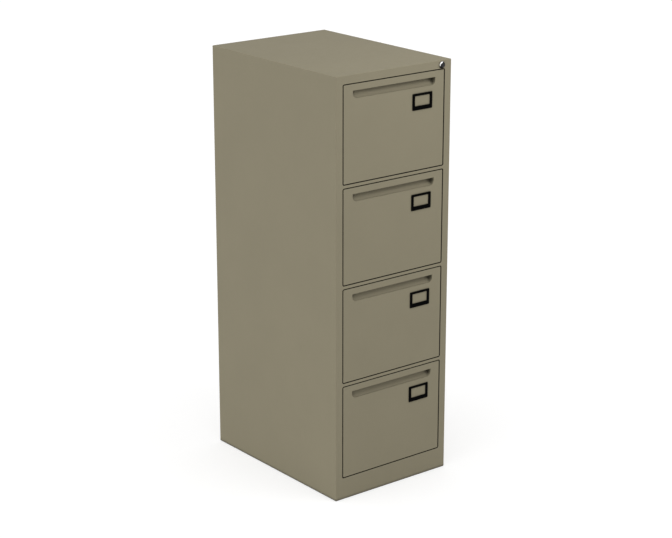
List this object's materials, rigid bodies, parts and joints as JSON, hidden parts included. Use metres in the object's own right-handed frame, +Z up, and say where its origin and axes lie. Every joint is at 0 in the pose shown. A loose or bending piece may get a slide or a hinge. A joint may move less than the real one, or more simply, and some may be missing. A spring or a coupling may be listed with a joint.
{
  "type": "filing cabinet",
  "caption": "Tall steel filing cabinet with flush double-skinned drawers on telescopic runners, recessed finger pulls, card holders and one lock that bars every drawer.",
  "frame": {"origin": "middle of the cabinet's footprint on the floor, the footprint counting the lock's 5 mm in front", "axes": "+X to the right as seen from the front, +Y to the back, +Z up; drawers open towards -Y"},
  "size_m": [0.44, 0.622, 1.321],
  "materials": {
    "case_paint": "satin powder coat",
    "drawer_paint": "satin powder coat",
    "holder_black": "moulded, matt black",
    "black_plastic": "moulded",
    "guide_plastic": "natural nylon",
    "stop_rubber": "matt",
    "zinc_plate": "bright zinc plated",
    "ball_steel": "polished balls in a plated cage",
    "lock_chrome": "polished chrome",
    "lock_steel": "dark brushed"
  },
  "bodies": {
    "cabinet": {"front_frame": "case_paint", "left_side_panel": "case_paint", "right_side_panel": "case_paint", "top_panel": "case_paint", "back_panel": "case_paint", "base_panel": "case_paint", "floor_glides": "black_plastic", "runner_uprights": "case_paint", "cabinet_runners": "zinc_plate", "runner_rivets": "zinc_plate", "runner_stops": "stop_rubber", "lock_housing": "lock_chrome", "lock_nut": "zinc_plate", "lock_bar_guides": "guide_plastic"},
    "lock_cylinder": {"lock_cylinder": "lock_steel", "lock_cam": "zinc_plate", "lock_cam_screw": "zinc_plate"},
    "lock_bar": {"lock_bar": "zinc_plate", "lock_bar_arm": "zinc_plate", "lock_bar_hooks": "zinc_plate"},
    "drawer_1": {"drawer_1_front": "drawer_paint", "drawer_1_handle_cup": "drawer_paint", "drawer_1_inner_panel": "drawer_paint", "drawer_1_card_holder": "holder_black", "drawer_1_tray": "drawer_paint", "drawer_1_screws": "zinc_plate", "drawer_1_runners": "zinc_plate"},
    "middle_runners_1": {"drawer_1_middle_runners": "zinc_plate"},
    "outer_cages_1": {"drawer_1_outer_ball_cages": "ball_steel"},
    "inner_cages_1": {"drawer_1_inner_ball_cages": "ball_steel"},
    "drawer_2": {"drawer_2_front": "drawer_paint", "drawer_2_handle_cup": "drawer_paint", "drawer_2_inner_panel": "drawer_paint", "drawer_2_card_holder": "holder_black", "drawer_2_tray": "drawer_paint", "drawer_2_screws": "zinc_plate", "drawer_2_runners": "zinc_plate"},
    "middle_runners_2": {"drawer_2_middle_runners": "zinc_plate"},
    "outer_cages_2": {"drawer_2_outer_ball_cages": "ball_steel"},
    "inner_cages_2": {"drawer_2_inner_ball_cages": "ball_steel"},
    "drawer_3": {"drawer_3_front": "drawer_paint", "drawer_3_handle_cup": "drawer_paint", "drawer_3_inner_panel": "drawer_paint", "drawer_3_card_holder": "holder_black", "drawer_3_tray": "drawer_paint", "drawer_3_screws": "zinc_plate", "drawer_3_runners": "zinc_plate"},
    "middle_runners_3": {"drawer_3_middle_runners": "zinc_plate"},
    "outer_cages_3": {"drawer_3_outer_ball_cages": "ball_steel"},
    "inner_cages_3": {"drawer_3_inner_ball_cages": "ball_steel"},
    "drawer_4": {"drawer_4_front": "drawer_paint", "drawer_4_handle_cup": "drawer_paint", "drawer_4_inner_panel": "drawer_paint", "drawer_4_card_holder": "holder_black", "drawer_4_tray": "drawer_paint", "drawer_4_screws": "zinc_plate", "drawer_4_runners": "zinc_plate"},
    "middle_runners_4": {"drawer_4_middle_runners": "zinc_plate"},
    "outer_cages_4": {"drawer_4_outer_ball_cages": "ball_steel"},
    "inner_cages_4": {"drawer_4_inner_ball_cages": "ball_steel"}
  },
  "joints": [
    {"name": "drawer_1_slide", "type": "slide", "parent": "cabinet", "child": "drawer_1", "axis": [0, -1, 0], "range_m": [0, 0.54]},
    {"name": "middle_runners_1_slide", "type": "slide", "parent": "cabinet", "child": "middle_runners_1", "axis": [0, -1, 0], "range_m": [0, 0.27]},
    {"name": "outer_cages_1_slide", "type": "slide", "parent": "cabinet", "child": "outer_cages_1", "axis": [0, -1, 0], "range_m": [0, 0.135]},
    {"name": "inner_cages_1_slide", "type": "slide", "parent": "cabinet", "child": "inner_cages_1", "axis": [0, -1, 0], "range_m": [0, 0.405]},
    {"name": "drawer_2_slide", "type": "slide", "parent": "cabinet", "child": "drawer_2", "axis": [0, -1, 0], "range_m": [0, 0.54]},
    {"name": "middle_runners_2_slide", "type": "slide", "parent": "cabinet", "child": "middle_runners_2", "axis": [0, -1, 0], "range_m": [0, 0.27]},
    {"name": "outer_cages_2_slide", "type": "slide", "parent": "cabinet", "child": "outer_cages_2", "axis": [0, -1, 0], "range_m": [0, 0.135]},
    {"name": "inner_cages_2_slide", "type": "slide", "parent": "cabinet", "child": "inner_cages_2", "axis": [0, -1, 0], "range_m": [0, 0.405]},
    {"name": "drawer_3_slide", "type": "slide", "parent": "cabinet", "child": "drawer_3", "axis": [0, -1, 0], "range_m": [0, 0.54]},
    {"name": "middle_runners_3_slide", "type": "slide", "parent": "cabinet", "child": "middle_runners_3", "axis": [0, -1, 0], "range_m": [0, 0.27]},
    {"name": "outer_cages_3_slide", "type": "slide", "parent": "cabinet", "child": "outer_cages_3", "axis": [0, -1, 0], "range_m": [0, 0.135]},
    {"name": "inner_cages_3_slide", "type": "slide", "parent": "cabinet", "child": "inner_cages_3", "axis": [0, -1, 0], "range_m": [0, 0.405]},
    {"name": "drawer_4_slide", "type": "slide", "parent": "cabinet", "child": "drawer_4", "axis": [0, -1, 0], "range_m": [0, 0.54]},
    {"name": "middle_runners_4_slide", "type": "slide", "parent": "cabinet", "child": "middle_runners_4", "axis": [0, -1, 0], "range_m": [0, 0.27]},
    {"name": "outer_cages_4_slide", "type": "slide", "parent": "cabinet", "child": "outer_cages_4", "axis": [0, -1, 0], "range_m": [0, 0.135]},
    {"name": "inner_cages_4_slide", "type": "slide", "parent": "cabinet", "child": "inner_cages_4", "axis": [0, -1, 0], "range_m": [0, 0.405]},
    {"name": "lock_bar_slide", "type": "slide", "parent": "cabinet", "child": "lock_bar", "axis": [0, 0, 1], "range_m": [0, 0.01556]},
    {"name": "lock_cylinder_turn", "type": "hinge", "parent": "cabinet", "child": "lock_cylinder", "pos_m": [0.182, -0.306, 1.307], "axis": [0, -1, 0], "range_deg": [0, 90]}
  ],
  "couplings": [
    {"joint": "middle_runners_1_slide", "follows": "drawer_1_slide", "ratio": 0.5},
    {"joint": "outer_cages_1_slide", "follows": "drawer_1_slide", "ratio": 0.25},
    {"joint": "inner_cages_1_slide", "follows": "drawer_1_slide", "ratio": 0.75},
    {"joint": "middle_runners_2_slide", "follows": "drawer_2_slide", "ratio": 0.5},
    {"joint": "outer_cages_2_slide", "follows": "drawer_2_slide", "ratio": 0.25},
    {"joint": "inner_cages_2_slide", "follows": "drawer_2_slide", "ratio": 0.75},
    {"joint": "middle_runners_3_slide", "follows": "drawer_3_slide", "ratio": 0.5},
    {"joint": "outer_cages_3_slide", "follows": "drawer_3_slide", "ratio": 0.25},
    {"joint": "inner_cages_3_slide", "follows": "drawer_3_slide", "ratio": 0.75},
    {"joint": "middle_runners_4_slide", "follows": "drawer_4_slide", "ratio": 0.5},
    {"joint": "outer_cages_4_slide", "follows": "drawer_4_slide", "ratio": 0.25},
    {"joint": "inner_cages_4_slide", "follows": "drawer_4_slide", "ratio": 0.75},
    {"joint": "lock_cylinder_turn", "follows": "lock_bar_slide", "rad_per_m": 100.98}
  ]
}
